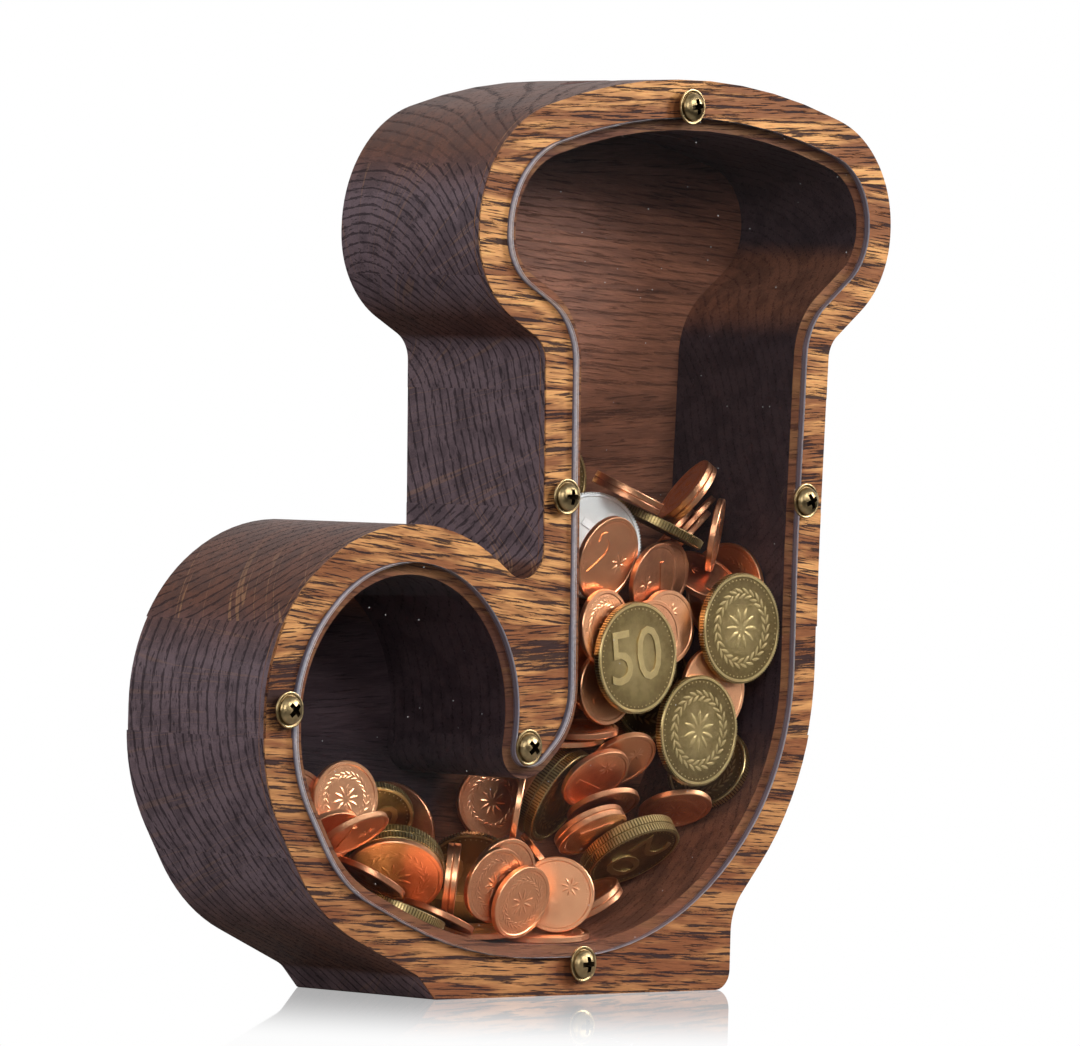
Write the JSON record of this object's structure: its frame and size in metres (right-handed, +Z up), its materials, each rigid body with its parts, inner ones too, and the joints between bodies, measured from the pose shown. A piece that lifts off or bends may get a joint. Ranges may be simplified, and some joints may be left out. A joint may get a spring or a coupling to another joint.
{
  "type": "wooden money box",
  "caption": "Letter J money box of glued oak staves with a coin-filled pocket behind a clear screwed-on window and a coin slot in the top.",
  "frame": {"origin": "middle of the foot's flat rest face", "axes": "+Z up, front with the window towards -Y, +X to the right as seen from the front"},
  "size_m": [0.1712, 0.0426, 0.1816],
  "materials": {
    "oak": "stained and oiled oak, end grain dark, front face sanded lighter",
    "acrylic": "clear acrylic sheet with bright polished edge",
    "antique_brass": "antique brass plated screw",
    "copper": "copper-plated coin",
    "coin_brass": "brass-plated coin with reeded edge",
    "coin_silver": "silver-coloured coin"
  },
  "bodies": {
    "root": {"stave_1": "oak", "stave_2": "oak", "stave_3": "oak", "stave_4": "oak", "stave_5": "oak", "stave_6": "oak", "stave_7": "oak", "stave_8": "oak", "window": "acrylic", "screw_1": "antique_brass", "screw_2": "antique_brass", "screw_3": "antique_brass", "screw_4": "antique_brass", "screw_5": "antique_brass", "screw_6": "antique_brass", "coins_copper_small": "copper", "coins_copper_middle": "copper", "coins_copper_large": "copper", "coins_brass_small": "coin_brass", "coins_brass_middle": "coin_brass", "coins_brass_large": "coin_brass", "coins_silver": "coin_silver"}
  },
  "joints": []
}
